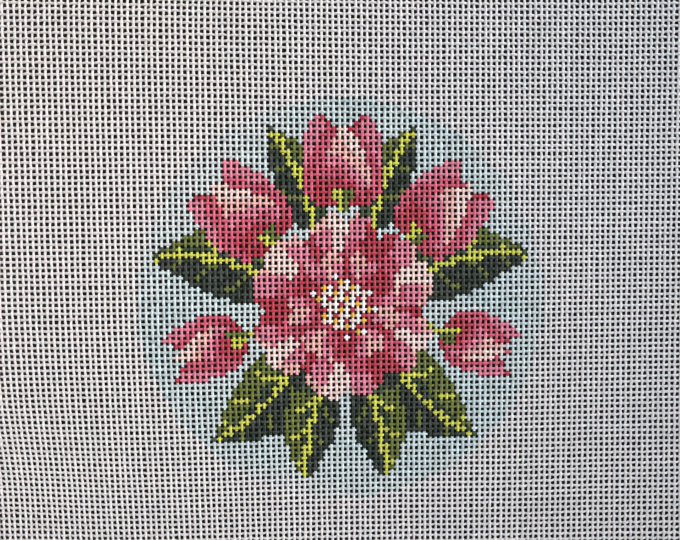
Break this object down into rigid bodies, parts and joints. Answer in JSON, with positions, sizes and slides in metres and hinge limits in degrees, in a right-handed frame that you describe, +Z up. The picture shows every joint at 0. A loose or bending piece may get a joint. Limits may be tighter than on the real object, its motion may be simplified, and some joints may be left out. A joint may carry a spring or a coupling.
{
  "type": "needlepoint canvas panel",
  "caption": "Square cut of open plain-weave needlepoint canvas with a painted round of blossoms and leaves, lying almost flat with its left side raised a little and one corner curled up.",
  "frame": {"origin": "on the surface that the canvas lies on, under the middle of the cut", "axes": "+Z up off the surface, out of the painted face; +X to the right and +Y to the top edge of the painted round, as the picture shows it; the warp threads run along Y and the weft threads along X"},
  "size_m": [0.2032, 0.2033, 0.0064],
  "materials": {
    "canvas": "matt sized white cotton, open plain weave of 18 threads to the inch, with matt acrylic paint on a round 101.6 mm wide"
  },
  "bodies": {
    "root": {"canvas": "canvas"}
  },
  "joints": []
}
